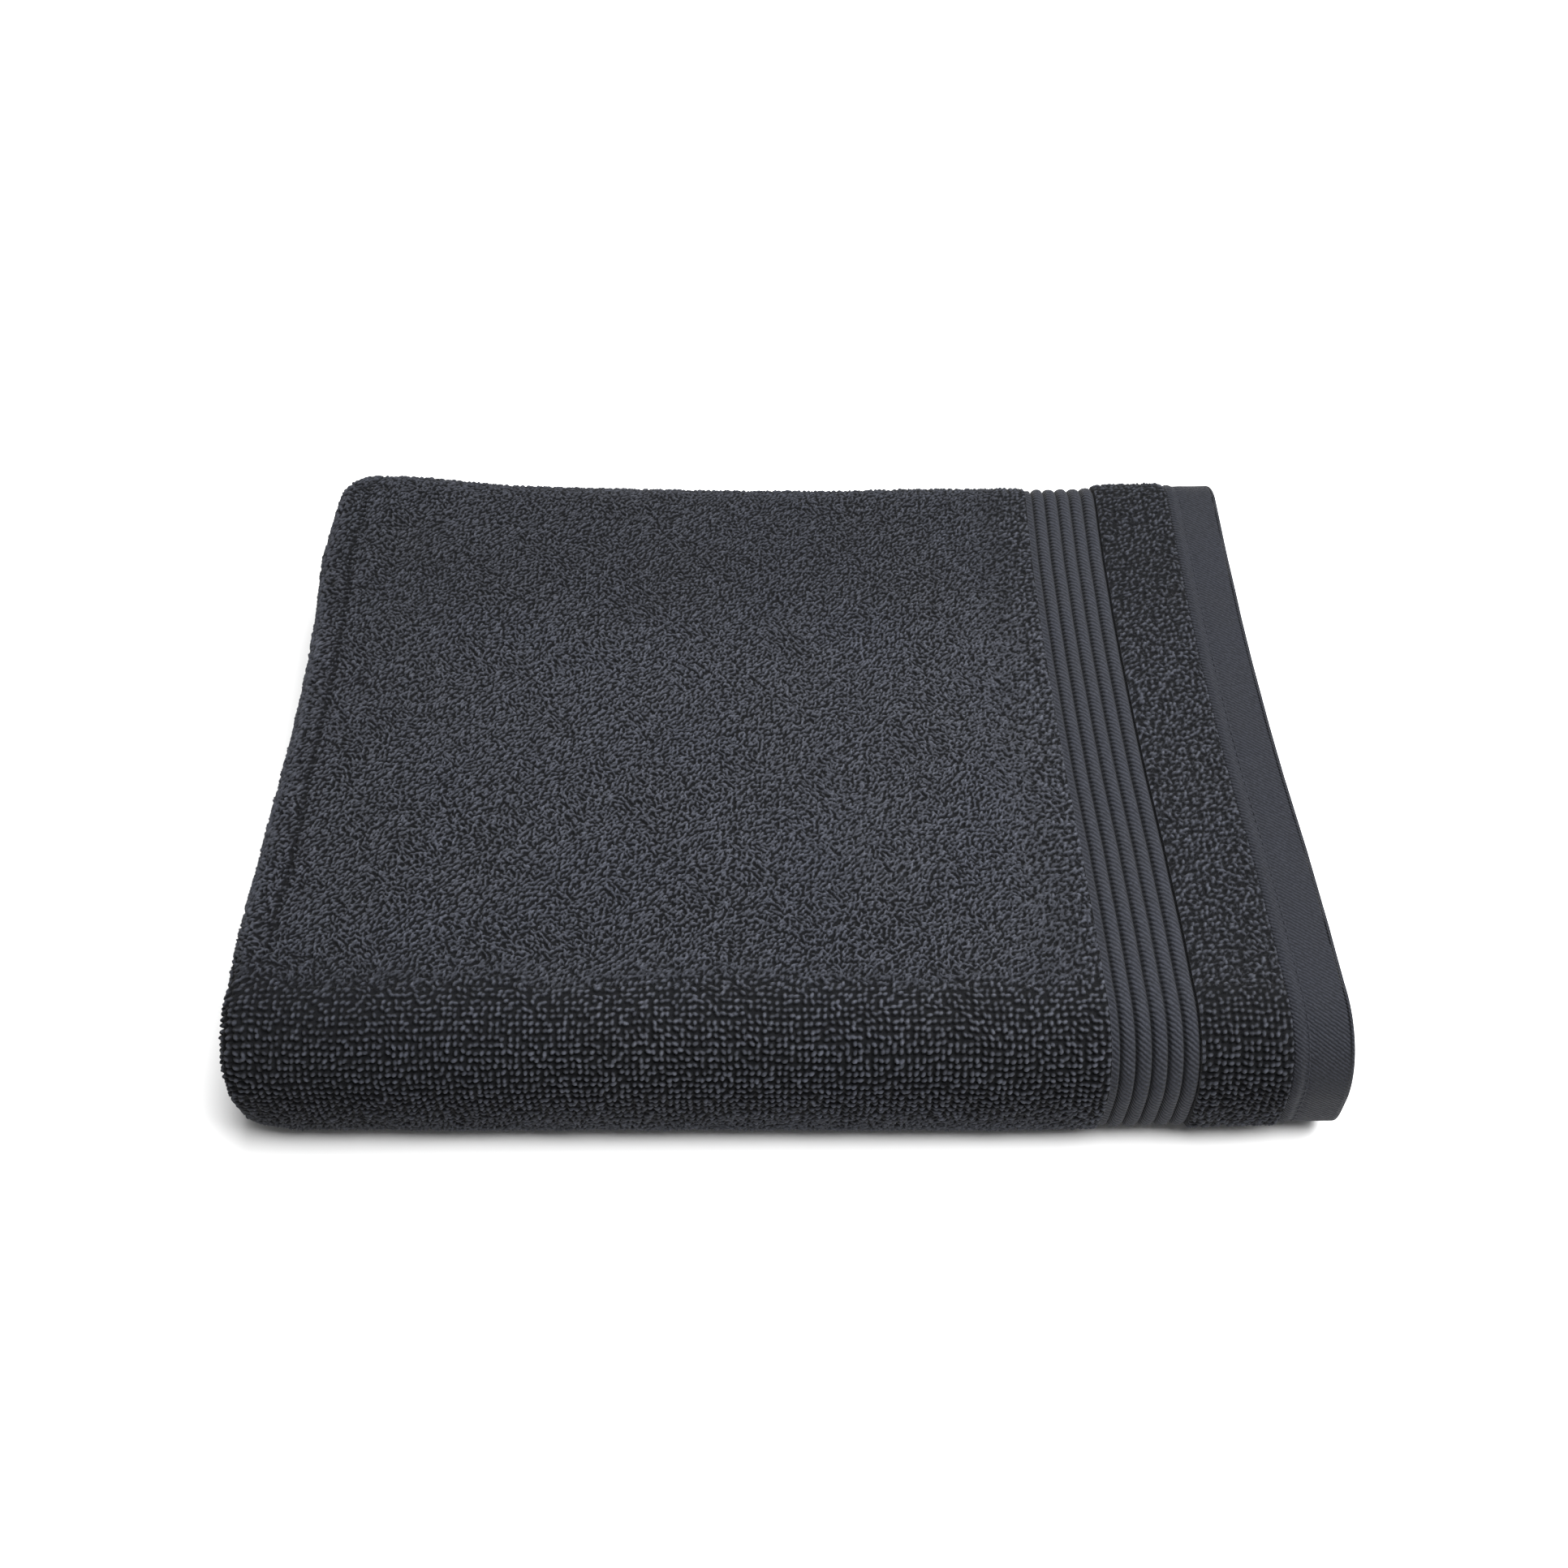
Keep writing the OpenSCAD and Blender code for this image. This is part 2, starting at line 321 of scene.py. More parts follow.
def uprightness(u, v):
    """0 where the pile is pressed flat, 1 where a fold opens its rows and the loops stand up."""
    ragged = v + BOUNDARY_RAGGED * value_noise(u / 0.018, v / 0.018, 21)
    after_start, past_end, ramp = FRONT_STANDING
    front_fold = plateau(ragged, V_LOWER + after_start, V_FRONT + past_end, ramp)
    folds = front_fold + BACK_STANDING * plateau(v, V_UPPER, V_BACK, BACK_RAMP)
    turn = LEFT_STANDING * plateau(u, U_PLY1 - 3 * MM, U_OUTER_TURN + 4 * MM, 8 * MM)
    border = STRIP_STANDING * np.exp(-((u - BORDER_W) / BORDER_REACH) ** 2)
    patches = PATCH_STANDING * np.clip(value_noise(u / 0.05 + 2, v / 0.06, 19), 0, 1)
    return np.maximum.reduce([folds, turn, border, patches])


def loop_layer(u, row, size, half_long, half_narrow, loose, droop, shift, salt):
    """Height (0 to 1) and tone of one layer of loops: short rounded ridges, each with its own lean."""
    height, tone = np.zeros_like(u), np.zeros_like(u)
    cell_u, cell_v = np.floor(u / size[0] - shift), np.floor(row - shift)
    for du in (-1, 0, 1):
        for dv in (-1, 0, 1):
            i, j = cell_u + du, cell_v + dv
            off_u = (u / size[0] - shift - i - 0.5 - loose * (hashed(i, j, salt) - 0.5)) * size[0]
            off_v = (row - shift - j - 0.5 - loose * (hashed(i, j, salt + 1) - 0.5)) * size[1]
            way = 0.8 * value_noise(i / 5, j / 5, 12) + 1.0 * (hashed(i, j, salt + 3) - 0.5)
            lean = np.where(way > -0.3, -0.85, 0.75) + 1.2 * (hashed(i, j, salt + 4) - 0.5)
            c, s = np.cos(lean), np.sin(lean)
            longer = 0.85 + 0.3 * hashed(i, j, salt + 5)
            along, across = (off_u * c + off_v * s) / half_long / longer, (off_v * c - off_u * s) / half_narrow
            q = along ** 2 + across ** 2
            top = (0.76 + 0.24 * hashed(i, j, salt + 6)) * (1 - droop * off_v / half_long)
            this = top * np.sqrt(np.clip(1 - q, 0, 1))
            better = this > height
            height = np.where(better, this, height)
            tone = np.where(better, hashed(i, j, salt + 7), tone)
    return height, tone


def blend_in(height, tone, where, share, layer):
    """Keeps the taller of the pile so far and of a layer worked out only where its share is above 0."""
    layer_height = layer[0] * share[where]
    taller = layer_height > height[where]
    height[where] = np.where(taller, layer_height, height[where])
    tone[where] = np.where(taller, layer[1], tone[where])


def pile(u, v, shorter, standing):
    """Height, lightness and tone of the pile. Inside a fold a ply is shorter than the outermost one."""
    row = np.interp(v, ROW_TABLE_V, ROW_TABLE) * shorter
    row = row + ROW_WANDER * value_noise(u / 0.02, v / 0.02, 18)
    up = np.maximum(uprightness(u, v), standing)
    height, tone = np.zeros_like(u), np.full_like(u, 0.5)
    lying, knobs = np.clip(1.6 * (1 - up), 0, 1), np.clip(1.8 * up, 0, 1)
    where = lying > 0.01
    size, finer_row = (LOOP_U / FLAT_FINER, LOOP_V / FLAT_FINER), row[where] * FLAT_FINER
    for shift, salt in ((0.0, 10), (0.5, 30)):
        layer = loop_layer(u[where], finer_row, size, LOOP_LONG, LOOP_NARROW, LOOP_JITTER, 0, shift, salt)
        blend_in(height, tone, where, lying * (1 - 0.28 * shift), layer)
    where = knobs > 0.01
    bent = 1 - up[where]
    half_long, half_narrow = KNOB_LONG * (1 + 0.25 * bent), KNOB_NARROW * (1 - 0.4 * bent)
    loose = LOOP_JITTER * (0.70 + 1.15 * bent)
    size = (LOOP_U, LOOP_V)
    layer = loop_layer(u[where], row[where], size, half_long, half_narrow, loose, KNOB_DROOP, 0, 50)
    blend_in(height, tone, where, knobs, layer)
    # the second value is the lightness, with painted shade on standing loops
    return height, height * (1 - KNOB_PAINTED_SHADE * up), tone


# ---------------------------------------------------------------- meshes


def quads(columns, rows, offset, flip):
    """Corner lists of a grid of four-sided faces."""
    i, j = np.meshgrid(np.arange(columns - 1), np.arange(rows - 1), indexing="ij")
    corner = (i * rows + j).reshape(-1)
    faces = np.stack([corner, corner + 1, corner + rows + 1, corner + rows], axis=1)
    return (faces[:, ::-1] if flip else faces) + offset


def build(name, points, faces_by_size, attributes, cloth_uv, bake_uv, material, smooth_arrays=None):
    """A mesh object from arrays. cloth_uv is in metres, one a vertex; bake_uv is 0 to 1, one a corner."""
    mesh = bpy.data.meshes.new(name)
    sizes = np.concatenate([np.full(len(f), f.shape[1]) for f in faces_by_size])
    corners = np.concatenate([f.reshape(-1) for f in faces_by_size]).astype(np.int32)
    mesh.vertices.add(len(points))
    mesh.vertices.foreach_set("co", np.ascontiguousarray(points, np.float32).reshape(-1))
    mesh.loops.add(len(corners))
    mesh.loops.foreach_set("vertex_index", corners)
    mesh.polygons.add(len(sizes))
    mesh.polygons.foreach_set("loop_start", np.concatenate([[0], np.cumsum(sizes)[:-1]]).astype(np.int32))
    mesh.update(calc_edges=True)
    smooth_faces = sum(len(f) for f in faces_by_size[:smooth_arrays])
    mesh.polygons.foreach_set("use_smooth", np.arange(len(sizes)) < smooth_faces)
    for key, values in attributes.items():
        mesh.attributes.new(key, "FLOAT", "POINT").data.foreach_set("value", np.asarray(values, np.float32))
    layer = mesh.uv_layers.new(name="cloth")
    layer.data.foreach_set("uv", np.asarray(cloth_uv, np.float32)[corners].reshape(-1))
    layer = mesh.uv_layers.new(name="OFBake")
    layer.data.foreach_set("uv", np.asarray(bake_uv, np.float32).reshape(-1))
    mesh.uv_layers.active = mesh.uv_layers["cloth"]
    mesh.uv_layers["cloth"].active_render = True
    mesh.materials.append(material)
    ob = bpy.data.objects.new(name, mesh)
    bpy.context.collection.objects.link(ob)
    return ob


BACK_BAND = 0.10  # share of the bake's height that the hidden face gets
WALL_BAND = 0.02


def slab(name, u, v, outer_d, inner_d, stride, attributes, material):
    """A closed piece of cloth: a fine outer face, a plain inner face of every stride-th row, four edges."""
    columns, rows = len(u), len(v)
    coarse_u = np.unique(np.append(np.arange(0, columns, stride), columns - 1))
    coarse_v = np.unique(np.append(np.arange(0, rows, stride), rows - 1))
    uu, vv = np.meshgrid(u, v, indexing="ij")
    inner_uu, inner_vv = np.meshgrid(u[coarse_u], v[coarse_v], indexing="ij")
    outer = place(uu, vv, outer_d).reshape(-1, 3)
    inner = place(inner_uu, inner_vv, inner_d[np.ix_(coarse_u, coarse_v)]).reshape(-1, 3)
    count = len(outer)
    outer_faces = quads(columns, rows, 0, True)
    inner_faces = quads(len(coarse_u), len(coarse_v), count, False)
    all_u = np.concatenate([uu.reshape(-1), inner_uu.reshape(-1)])
    all_v = np.concatenate([vv.reshape(-1), inner_vv.reshape(-1)])
    share_u = (all_u - u[0]) / (u[-1] - u[0])
    share_v = (all_v - v[0]) / (v[-1] - v[0])
    outer_v = BACK_BAND + WALL_BAND + share_v * (1 - BACK_BAND - WALL_BAND)
    bake = [
        np.stack([share_u[outer_faces], outer_v[outer_faces]], -1),
        np.stack([share_u[inner_faces], share_v[inner_faces] * BACK_BAND], -1),
    ]
    faces = [outer_faces, inner_faces]

    def edge(outer_ids, inner_ids, picks, flip, band):
        for a, b, p, q in zip(picks[:-1], picks[1:], inner_ids[:-1], inner_ids[1:]):
            ring = [*outer_ids[a:b + 1], q, p]
            along = [*np.arange(a, b + 1), b, a]
            level = np.array([1] * (b + 1 - a) + [0, 0])
            height = BACK_BAND + WALL_BAND * (band + 0.1 + 0.7 * level) / 4
            uv = np.stack([np.array(along) / max(picks[-1], 1), height], -1)
            faces.append(np.array([ring[::-1] if flip else ring]))
            bake.append(uv[None, ::-1] if flip else uv[None])

    grid = np.arange(count).reshape(columns, rows)
    inner_grid = count + np.arange(len(inner)).reshape(len(coarse_u), len(coarse_v))
    edge(grid[0], inner_grid[0], coarse_v, True, 0)
    edge(grid[-1], inner_grid[-1], coarse_v, False, 1)
    edge(grid[:, 0], inner_grid[:, 0], coarse_u, False, 2)
    edge(grid[:, -1], inner_grid[:, -1], coarse_u, True, 3)
    filled = {}
    for key, (outer_values, inner_value) in attributes.items():
        outer_values = np.asarray(outer_values, float).reshape(-1)
        filled[key] = np.concatenate([outer_values, np.full(len(inner), inner_value)])
    points, cloth_uv = np.concatenate([outer, inner]), np.stack([all_u, all_v], -1)
    bake_uv = np.concatenate([part.reshape(-1, 2) for part in bake])
    return build(name, points, faces, filled, cloth_uv, bake_uv, material, 2)


def steps(start, end, step):
    return np.linspace(start, end, max(2, int(round((end - start) / step)) + 1))


# ---------------------------------------------------------------- materials

CLOTH_COLOUR = (0.0385, 0.0405, 0.0480, 1)
RIB_COLOUR = (0.0222, 0.0234, 0.0282, 1)
HEM_COLOUR = (0.0165, 0.0174, 0.0212, 1)
THREAD_COLOUR = (0.017, 0.018, 0.022, 1)
LABEL_COLOUR = (0.22, 0.22, 0.215, 1)
FLOOR_COLOUR = (0.90, 0.90, 0.90, 1)


def add(tree, kind, links=None, values=None, **settings):
    """Adds a shader node, sets its inputs by name or place, and joins other sockets to them."""
    made = tree.nodes.new(kind)
    for key, value in settings.items():
        setattr(made, key, value)
    for key, value in (values or {}).items():
        made.inputs[key].default_value = value
    for key, socket in (links or {}).items():
        tree.links.new(socket, made.inputs[key])
    return made


def maths(tree, operation, a, b):
    """A Math node of two inputs, each a socket or a number."""
    made = tree.nodes.new("ShaderNodeMath")
    made.operation = operation
    for place_in, item in enumerate((a, b)):
        if isinstance(item, (int, float)):
            made.inputs[place_in].default_value = item
        else:
            tree.links.new(item, made.inputs[place_in])
    return made.outputs[0]


def remap(tree, socket, from_low, from_high, to_low, to_high):
    made = add(tree, "ShaderNodeMapRange", {"Value": socket}, {
        "From Min": from_low, "From Max": from_high, "To Min": to_low, "To Max": to_high})
    return made.outputs["Result"]


def new_material(name, roughness, sheen):
    made = bpy.data.materials.new(name)
    made.use_nodes = True
    tree = made.node_tree
    shader = tree.nodes["Principled BSDF"]
    shader.inputs["Roughness"].default_value = roughness
    shader.inputs["Specular IOR Level"].default_value = 0.12
    shader.inputs["Sheen Weight"].default_value = sheen
    shader.inputs["Sheen Roughness"].default_value = 0.45
    return made, tree, shader


def shade_colour(tree, colour, factor, tint):
    """The colour times a factor, with a slow blue-grey tint running through it."""
    bluer = (colour[0] * 0.93, colour[1] * 0.96, colour[2] * 1.05, 1)
    tinted = add(tree, "ShaderNodeMix", {0: tint}, {6: colour, 7: bluer}, data_type="RGBA")
    scaled = add(tree, "ShaderNodeVectorMath", {0: tinted.outputs[2], 1: factor}, operation="MULTIPLY")
    return scaled.outputs[0]


def terry_material():
    """Cotton loops: painted light on the crowns and painted shade at the roots, a tone for each loop, and the
    twist of the yarn as bump.
    """
    made, tree, shader = new_material("terry", 0.95, 0.05)
    loop = add(tree, "ShaderNodeAttribute", attribute_name="loop").outputs["Fac"]
    tone = add(tree, "ShaderNodeAttribute", attribute_name="tone").outputs["Fac"]
    where = add(tree, "ShaderNodeTexCoord").outputs["Object"]
    yarn = add(tree, "ShaderNodeTexNoise", {"Vector": where}, {"Scale": 1900, "Detail": 2, "Roughness": 0.6})
    drift = add(tree, "ShaderNodeTexNoise", {"Vector": where}, {"Scale": 28, "Detail": 2})
    # painted shade at the loops' roots and painted light on their crowns, from the loop attribute
    painted_crown_light_root_shade = remap(tree, loop, 0.40, 0.95, 0.10, 1.50)
    each = remap(tree, tone, 0, 1, 0.80, 1.20)
    strands = remap(tree, yarn.outputs["Fac"], 0.3, 0.7, 0.78, 1.2)
    factor = maths(tree, "MULTIPLY", maths(tree, "MULTIPLY", painted_crown_light_root_shade, each), strands)
    colour = shade_colour(tree, CLOTH_COLOUR, factor, drift.outputs["Fac"])
    tree.links.new(colour, shader.inputs["Base Color"])
    bump = add(tree, "ShaderNodeBump", {"Height": yarn.outputs["Fac"]}, {"Strength": 0.5, "Distance": 0.0004})
    tree.links.new(bump.outputs["Normal"], shader.inputs["Normal"])
    return made


def flat_weave_material(name, colour, pitch, slant, depth, contrast):
    """A flat weave: fine slanted ridges of yarn, broken up along their length."""
    made, tree, shader = new_material(name, 0.85, 0.05)
    loop = add(tree, "ShaderNodeAttribute", attribute_name="loop").outputs["Fac"]
    cloth = add(tree, "ShaderNodeUVMap", uv_map="cloth").outputs["UV"]
    turned = add(tree, "ShaderNodeMapping", {"Vector": cloth}, {"Rotation": (0, 0, slant)}).outputs["Vector"]
    waves = add(tree, "ShaderNodeTexWave", {"Vector": turned}, {
        "Scale": math.pi / 10 / pitch, "Distortion": 2.6, "Detail": 2, "Detail Scale": 2.0,
        "Detail Roughness": 0.6})
    where = add(tree, "ShaderNodeTexCoord").outputs["Object"]
    fuzz = add(tree, "ShaderNodeTexNoise", {"Vector": where}, {"Scale": 1100, "Detail": 2, "Roughness": 0.6})
    drift = add(tree, "ShaderNodeTexNoise", {"Vector": where}, {"Scale": 60, "Detail": 2})
    ridges = remap(tree, waves.outputs["Fac"], 0, 1, 1 - contrast, 1 + 0.6 * contrast)
    strands = remap(tree, fuzz.outputs["Fac"], 0.3, 0.7, 0.76, 1.24)
    # painted shade from the loop attribute: darker in the rib grooves and at the hems' rounded edges
    painted_hollow_shade = remap(tree, loop, 0, 1, 0.32, 1.0)
    factor = maths(tree, "MULTIPLY", maths(tree, "MULTIPLY", ridges, strands), painted_hollow_shade)
    tree.links.new(shade_colour(tree, colour, factor, drift.outputs["Fac"]), shader.inputs["Base Color"])
    relief = maths(tree, "ADD", waves.outputs["Fac"], maths(tree, "MULTIPLY", fuzz.outputs["Fac"], 0.5))
    bump = add(tree, "ShaderNodeBump", {"Height": relief}, {"Strength": 0.7, "Distance": depth})
    tree.links.new(bump.outputs["Normal"], shader.inputs["Normal"])
    return made


def floor_material():
    made, tree, shader = new_material("pale_floor", 0.8, 0)
    where = add(tree, "ShaderNodeTexCoord").outputs["Object"]
    grain = add(tree, "ShaderNodeTexNoise", {"Vector": where}, {"Scale": 40})
    value = remap(tree, grain.outputs["Fac"], 0, 1, 0.995, 1.0)
    colour = add(tree, "ShaderNodeVectorMath", {1: value}, {0: FLOOR_COLOUR[:3]}, operation="MULTIPLY")
    tree.links.new(colour.outputs[0], shader.inputs["Base Color"])
    return made


TERRY = terry_material()
DOBBY = flat_weave_material("dobby_ribs", RIB_COLOUR, 1.3 * MM, math.radians(48), 0.0004, 0.40)
HEM = flat_weave_material("flat_hem", HEM_COLOUR, 1.05 * MM, math.radians(52), 0.0003, 0.36)
THREAD = flat_weave_material("thread", THREAD_COLOUR, 0.4 * MM, math.radians(35), 0.0001, 0.2)
LABEL = flat_weave_material("label", LABEL_COLOUR, 0.5 * MM, math.radians(0), 0.00005, 0.1)

# ---------------------------------------------------------------- how thick each part of the cloth is

PILE_GROUND = PLY_T / 2 - 1.15 * MM
INNER_FACE = -(PLY_T / 2 - 0.3 * MM)
RIB_FIRST = 2.6 * MM  # from the strip to the middle of the first rib
EDGE_ROUND = 1.3 * MM
SIDE_STITCH_INSET = 0.78 * SIDE_HEM_W  # from the towel's edge
SEAM_RIDGE = 0.45 * MM
SEAM_RIDGE_W = 4.2 * MM
SEAM_VALLEY_W = 1.5 * MM


def rounded(distance, radius):
    """0 at an edge, rising to 1 at one radius from it, as on a circle."""
    t = np.clip(distance / radius, 0, 1)
    return np.sqrt(np.clip(1 - (1 - t) ** 2, 0.02, 1))


def painted_light_and_shade(u, v):
    """Painted light and shade on the pile: lighter in the middle, darker behind and at the front left."""
    top = smooth((v - V_FRONT) / (20 * MM))
    left = smooth((u - U_PLY1) / (90 * MM) + 1.1)
    middle = plateau(v, V_FRONT, V_UPPER - 30 * MM, 60 * MM)
    back = smooth((v - V_UPPER) / (50 * MM) + 1.7)
    return 1 + 0.055 * middle * (1 - left) - 0.07 * back - 0.13 * left * (1 - top)


def terry_face(u, v, u_low, u_high, raised=0.0, shorter=1.0, standing=0.0):
    """Outer height, lightness and tone of a field or strip whose edges lie at u_low and u_high. The lightness
    carries painted light and shade.
    """
    height, lightness, tone = pile(u, v, shorter, standing)
    edge = rounded(u - u_low, 2.2 * MM) * rounded(u_high - u, 2.2 * MM)
    wander = 0.22 * MM * value_noise(u / (5 * MM), v / (5 * MM), 51)
    on_top = smooth((v - V_FRONT) / (20 * MM))
    crease_u = END_A + HALF_W - LEFT_CREASE_X + 1.5 * MM * value_noise(v / (40 * MM), 0.5, 52)
    crease = np.exp(-((u - crease_u) / LEFT_CREASE_W) ** 2) * on_top
    crease = crease * (0.5 + 0.5 * np.cos(2 * math.pi * v / LOOP_V))
    loops = PILE_DEPTH * height * (0.35 + 0.65 * edge)
    d = PILE_GROUND + loops + (raised + wander) * edge - LEFT_CREASE * crease
    # painted light: the pile of the left turn drawn lighter
    filled = LEFT_TURN_LIGHT * plateau(u, U_PLY1 + 0.001, U_OUTER_TURN, 0.006) * on_top
    # painted light in the middle of the top, painted shade behind and at the front left
    lightness = painted_light_and_shade(u, v) * (lightness + filled * (1 - lightness))
    # painted shade: strip loops drawn darker where they stand, and the left crease drawn darker in dashes
    return d, lightness * (1 - 0.2 * standing) * (1 - LEFT_CREASE_SHADE * crease), tone


def dobby_face(u, v, from_strip):
    """Round cords side by side, then a flat margin next to the field."""
    order = (from_strip - RIB_FIRST) / RIB_PITCH
    nearest = np.clip(np.round(order), 0, RIB_COUNT - 1)
    q = (order - nearest) / RIB_SHARE
    cord = np.sqrt(np.clip(1 - np.abs(q) ** 2.3, 0, 1))
    wobble = 1 + 0.10 * value_noise(v / (4 * MM), nearest * 3.7 + 0.5, 61)
    strand = 0.06 * MM * np.sin(2 * math.pi * (v - 0.9 * (u - END_A)) / RIB_STRAND) * smooth(cord * 1.2)
    margin = smooth((from_strip - RIB_FIRST - (RIB_COUNT - 0.5) * RIB_PITCH) / (0.8 * MM))
    d = RIB_GROOVE + (RIB_CREST - RIB_GROOVE) * np.maximum(cord * wobble, 0.75 * margin) + strand
    # the second value is painted shade: darker in the grooves between the cords
    return d, np.maximum(smooth(cord * 1.08), 0.8 * margin), 0.5 + 0.5 * strand / (0.06 * MM)


def hem_face(u, v, from_end):
    """A flat turned hem: a rounded outer end, a line of stitches and a raised inner edge."""
    end = rounded(from_end, EDGE_ROUND)
    to_seam = HEM_W - from_end
    ridge = SEAM_RIDGE * np.cos(np.clip((to_seam / SEAM_RIDGE_W - 0.5) * math.pi, -1.57, 1.57)) ** 2
    stitch_line = np.exp(-((to_seam - STITCH_INSET) / SEAM_VALLEY_W) ** 2)
    pucker = 0.10 * MM * stitch_line * np.cos(2 * math.pi * v / STITCH_PITCH)
    ripple = 0.10 * MM * value_noise(v / (9 * MM), u / (7 * MM), 71)
    d = (HEM_HALF_T + ripple) * end + ridge - 0.22 * MM * stitch_line + pucker
    d = d - 0.9 * MM * (1 - rounded(to_seam, 0.7 * MM))
    # the second value is painted shade: darker along the hem's rounded outer end
    return d, 0.75 + 0.25 * end, 0.5 + 0 * u


def side_hem_face(u, v, from_edge):
    edge = rounded(from_edge, EDGE_ROUND)
    to_field = SIDE_HEM_W - from_edge
    stitch_line = np.exp(-((from_edge - SIDE_STITCH_INSET) / (0.7 * MM)) ** 2)
    ripple = 0.12 * MM * value_noise(u / (8 * MM), v / (6 * MM), 81)
    d = (SIDE_HEM_HALF_T + ripple) * edge - 0.3 * MM * stitch_line
    d = d - 0.6 * MM * (1 - rounded(to_field, 0.7 * MM))
    # the second value is painted shade: darker along the hem's rounded edge
    return d, 0.75 + 0.25 * edge, 0.5 + 0 * u


# ---------------------------------------------------------------- the pieces

FINE_REGIONS = ("front_fold", "upper", "back_fold")
COVERED_UNDERSIDES = ("upper", "tucked")  # the leaves' faces that lie against each other at every pose


def region_radius(region, depth):
    """Radius of a fold for cloth at this depth in the leaf, or None on the flat."""
    return {"front_fold": FRONT_R - depth, "back_fold": BACK_R - depth}.get(region)


def flat_size(region, u, depth):
    """Size of the flat cloth in a piece: across the towel and along it."""
    v_low, v_high = REGIONS[region]
    radius = region_radius(region, depth)
    across = v_high - v_low if radius is None else math.pi * radius
    return across, u[-1] - u[0]


def attach(ob, region, depth, slot, *nodes):
    """Hangs a piece on its body, or, on the front fold, bakes its placement into its mesh, and hides what it
    stands for.
    """
    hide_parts(*nodes)
    if region == "front_fold":
        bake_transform(ob)
    else:
        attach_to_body(ob, BODY[region])
    return ob


def cloth_piece(name, region, u, v, face, material, slot, depth, node, stride=4, both_faces=False):
    uu, vv = np.meshgrid(u, v, indexing="ij")
    d, loop, tone = face(uu, vv)
    rough = 0.25 * MM * value_noise(uu / (3 * MM), vv / (3 * MM), 91)
    inner = -d if both_faces else INNER_FACE + rough
    ob = slab(name, u, v, d, inner, stride, {"loop": (loop, 0.6), "tone": (tone, 0.5)}, material)
    return attach(ob, region, depth, slot, node)


def terry_piece(region, zone, u_low, u_high, step, depth, node, soft_edges, raised=0.0, standing=0.0):
    v_low, v_high = REGIONS[region]
    u, v = steps(u_low, u_high, step), steps(v_low, v_high, step)
    edge_low = u_low if soft_edges[0] else u_low - 1
    edge_high = u_high if soft_edges[1] else u_high + 1
    shorter = flat_size(region, u, depth)[0] / (v_high - v_low) if depth > PLY_MID[0] else 1.0
    return cloth_piece(f"{region}_{zone}_terry", region, u, v,
                       lambda uu, vv: terry_face(uu, vv, edge_low, edge_high, raised, shorter, standing),
                       TERRY, "pile", depth, f"{region}_{node}")


def woven_piece(region, zone, u, step, face, material, slot, depth, stride=4, both_faces=False):
    v_low, v_high = REGIONS[region]
    v = np.sort(np.append(steps(v_low, v_high, step), (v_low + EDGE_ROW, v_high - EDGE_ROW)))
    name, node = f"{region}_{zone}_weave", f"{region}_{zone}"
    return cloth_piece(name, region, u, v, face, material, slot, depth, node, stride, both_faces)


def hem_steps(step):
    """Steps across an end hem, closer together at its rounded end and at its raised edge."""
    return np.unique(np.concatenate([
        EDGE_ROUND * (1 - np.cos(np.linspace(0, math.pi / 2, 7))),
        steps(EDGE_ROUND, HEM_W - SEAM_RIDGE_W - 1 * MM, step),
        steps(HEM_W - SEAM_RIDGE_W - 1 * MM, HEM_W, 0.25 * MM)]))


def stitch_rows(name, centres, ring_count, along_v, surface, arch):
    """Short round stitches of thread centred at (u, v), lying along v or along u."""
    sides = 6
    along = np.linspace(-1, 1, ring_count)[:, None]
    girth = THREAD_R * np.sqrt(np.clip(1 - (along * 0.97) ** 4, 0, 1))
    angle = np.arange(sides) * 2 * math.pi / sides
    length = along * (STITCH_PITCH - STITCH_GAP) / 2 + 0 * angle
    across = 1.3 * girth * np.cos(angle)
    dd = surface + arch * (1 - along ** 2) + girth * np.sin(angle)
    ids = np.arange(ring_count * sides).reshape(ring_count, sides)
    after = np.roll(ids, -1, axis=1)
    side_faces = np.stack([ids[:-1], after[:-1], after[1:], ids[1:]], -1).reshape(-1, 4)
    caps = [ids[:1, ::-1], ids[-1:]]
    points, faces, cloth = [], [], []
    for k, (u_mid, v_mid) in enumerate(centres):
        uu, vv = (u_mid + across, v_mid + length) if along_v else (u_mid + length, v_mid + across)
        points.append(place(uu, vv, dd).reshape(-1, 3))
        cloth.append(np.stack([uu, vv], -1).reshape(-1, 2))
        faces += [(part if along_v else part[:, ::-1]) + k * ids.size for part in (side_faces, *caps)]
    points, cloth = np.concatenate(points), np.concatenate(cloth)
    total = sum(part.size for part in faces)
    bake = np.stack([np.linspace(0.02, 0.98, total), 0.5 + 0.4 * np.sin(np.arange(total))], -1)
    attributes = {"loop": np.ones(len(points)), "tone": np.full(len(points), 0.5)}
    return build(name, points, faces, attributes, cloth, bake, THREAD)


def hem_stitches(region):
    """One row of stitches for each end hem, sunk a little into the cloth."""
    v_low, v_high = REGIONS[region]
    count = int((v_high - v_low) / STITCH_PITCH)
    v_mids = [v_low + (k + 0.5) * (v_high - v_low) / count for k in range(count)]
    rows = (HEM_W - STITCH_INSET, CLOTH_L - HEM_W + STITCH_INSET)
    centres = [(u_row, v_mid) for u_row in rows for v_mid in v_mids]
    ob = stitch_rows(f"{region}_hem_stitches", centres, 7, True, HEM_HALF_T - 0.50 * MM, 0.25 * MM)
    return attach(ob, region, PLY_MID[0], "thread", f"{region}_hem_thread")


